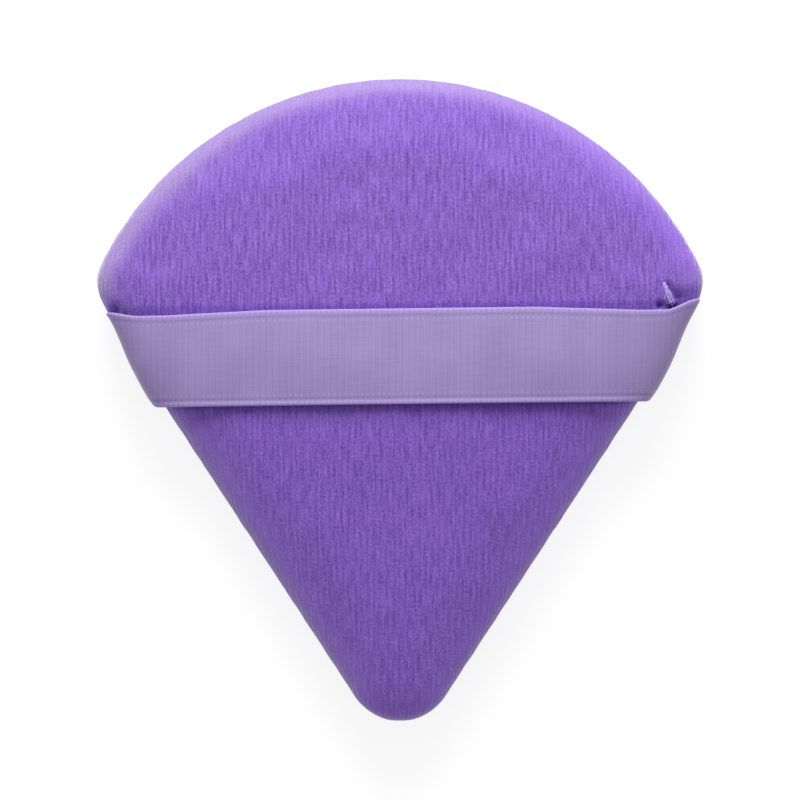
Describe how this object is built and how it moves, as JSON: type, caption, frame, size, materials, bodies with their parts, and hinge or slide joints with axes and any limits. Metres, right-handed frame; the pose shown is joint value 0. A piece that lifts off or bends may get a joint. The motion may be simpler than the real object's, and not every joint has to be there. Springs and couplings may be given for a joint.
{
  "type": "powder puff",
  "caption": "Flat triangular velour powder puff with a rounded top edge, a foam core and a satin ribbon across one face for two fingers.",
  "frame": {"origin": "under the middle of the plan, on the surface that the puff lies on", "axes": "+Y from the pointed tip to the round end, +Z out of the face with the finger ribbon, +X to the right seen from that face with the round end up"},
  "size_m": [0.0754, 0.08, 0.0123],
  "materials": {
    "velour_front": "matte",
    "velour_back": "matte",
    "foam": "matte",
    "satin": "satin",
    "seam_thread": "satin",
    "closing_thread": "satin",
    "tack_thread_right": "satin",
    "tack_thread_left": "satin"
  },
  "bodies": {
    "root": {"front_cover": "velour_front", "back_cover": "velour_back", "foam_core": "foam", "finger_ribbon": "satin", "seam_thread": "seam_thread", "closing_thread": "closing_thread", "ribbon_tack_right": "tack_thread_right", "ribbon_tack_left": "tack_thread_left"}
  },
  "joints": []
}
